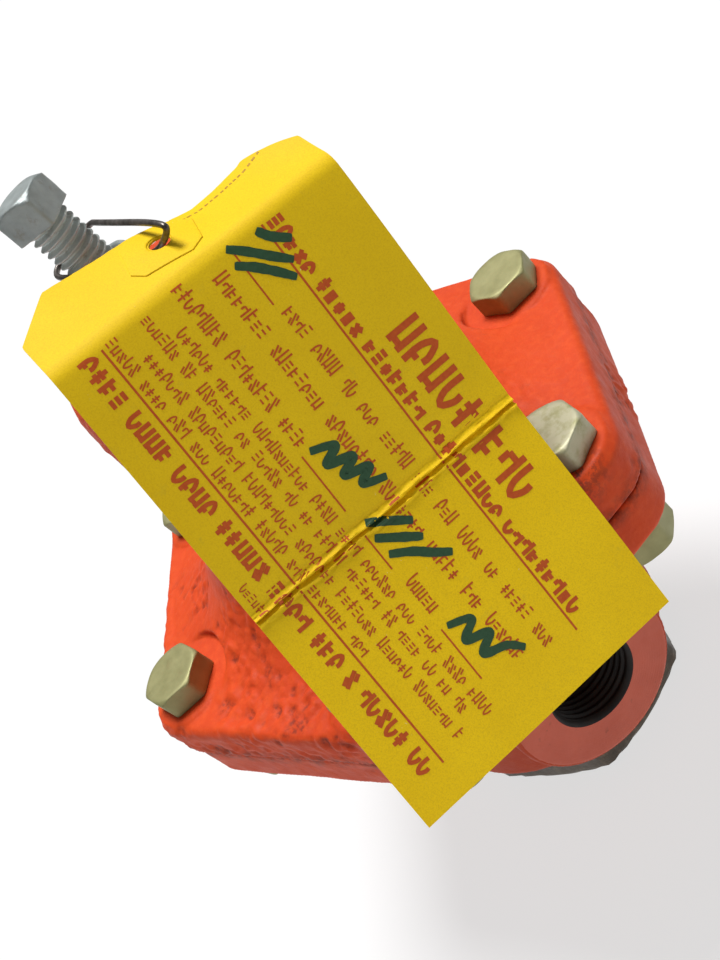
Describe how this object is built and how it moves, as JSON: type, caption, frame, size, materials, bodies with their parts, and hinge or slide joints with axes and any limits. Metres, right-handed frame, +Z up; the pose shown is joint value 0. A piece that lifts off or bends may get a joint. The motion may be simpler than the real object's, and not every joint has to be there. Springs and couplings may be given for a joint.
{
  "type": "pressure reducing valve",
  "caption": "Direct-acting pressure reducing valve: threaded ports, bolted hexagonal diaphragm flange, bell spring chamber, square-head adjusting screw, hex plug, wired card tag.",
  "frame": {"origin": "centre of the bottom plug's underside", "axes": "+Z up along the adjusting screw, +X out of the outlet port along the pipe"},
  "size_m": [0.1327, 0.1364, 0.1877],
  "materials": {
    "painted_iron": "glossy orange-red enamel over rough sand-cast iron, dull and darker in shade",
    "plated_bolt": "dull greenish-grey cadmium plating with brown stains",
    "zinc_screw": "blue-grey zinc plating with dark thread roots",
    "dark_iron": "dark brown-black oiled iron",
    "tag_card": "thick yellow card, printed in red-brown and written on in dark green",
    "dark_wire": "dark annealed steel wire",
    "phosphor_bronze": "thin rolled sheet, satin",
    "bronze": "machined bronze",
    "plain_steel": "machined steel, lightly oiled",
    "spring_steel": "round spring wire, dark",
    "gasket_fibre": "compressed fibre sheet",
    "disc_rubber": "moulded hard rubber"
  },
  "bodies": {
    "valve_body": {"body": "painted_iron", "spring_chamber": "painted_iron", "diaphragm": "phosphor_bronze", "diaphragm_gasket": "gasket_fibre", "flange_bolts": "plated_bolt", "flange_nuts": "plated_bolt", "bottom_plug": "dark_iron", "plug_gasket": "gasket_fibre", "strainer_screen": "phosphor_bronze", "seat_ring": "bronze", "seat_gasket": "gasket_fibre", "pressure_spring": "spring_steel", "piston_spring": "spring_steel"},
    "spring_button": {"spring_button": "plain_steel"},
    "adjusting_screw": {"adjusting_screw": "zinc_screw"},
    "lock_nut": {"lock_nut": "zinc_screw"},
    "inner_valve": {"pressure_plate": "plain_steel", "pusher_post": "bronze", "piston": "bronze", "seat_disc": "disc_rubber", "disc_screw": "bronze"},
    "tag_wire": {"tag_wire": "dark_wire"},
    "tag": {"instruction_tag": "tag_card", "tag_patch": "tag_card"}
  },
  "joints": [
    {"name": "button_travel", "type": "slide", "parent": "valve_body", "child": "spring_button", "axis": [0, 0, 1], "range_m": [-0.00556, 0.00953], "deforming": ["pressure_spring"]},
    {"name": "screw_turn", "type": "hinge", "parent": "spring_button", "child": "adjusting_screw", "pos_m": [0, 0, 0.16], "axis": [0, 0, 1], "range_deg": [-1262, 2162]},
    {"name": "lock_nut_turn", "type": "hinge", "parent": "valve_body", "child": "lock_nut", "pos_m": [0, 0, 0.1649], "axis": [0, 0, 1], "range_deg": [0, 180]},
    {"name": "valve_lift", "type": "slide", "parent": "valve_body", "child": "inner_valve", "axis": [0, 0, 1], "range_m": [-0.001, 0.0015], "stiffness_N_per_m": 2500, "deforming": ["diaphragm", "pressure_spring", "piston_spring"]},
    {"name": "wire_swing", "type": "hinge", "parent": "valve_body", "child": "tag_wire", "pos_m": [0, 0, 0.1726], "axis": [0, 0, 1], "range_deg": [-6, 0]},
    {"name": "tag_lift", "type": "hinge", "parent": "tag_wire", "child": "tag", "pos_m": [0.0264, 0.00947, 0.16828], "axis": [0.017, -0.9758, 0.218], "range_deg": [0, 9]}
  ],
  "couplings": [
    {"joint": "screw_turn", "follows": "button_travel", "rad_per_m": 3957.9}
  ]
}
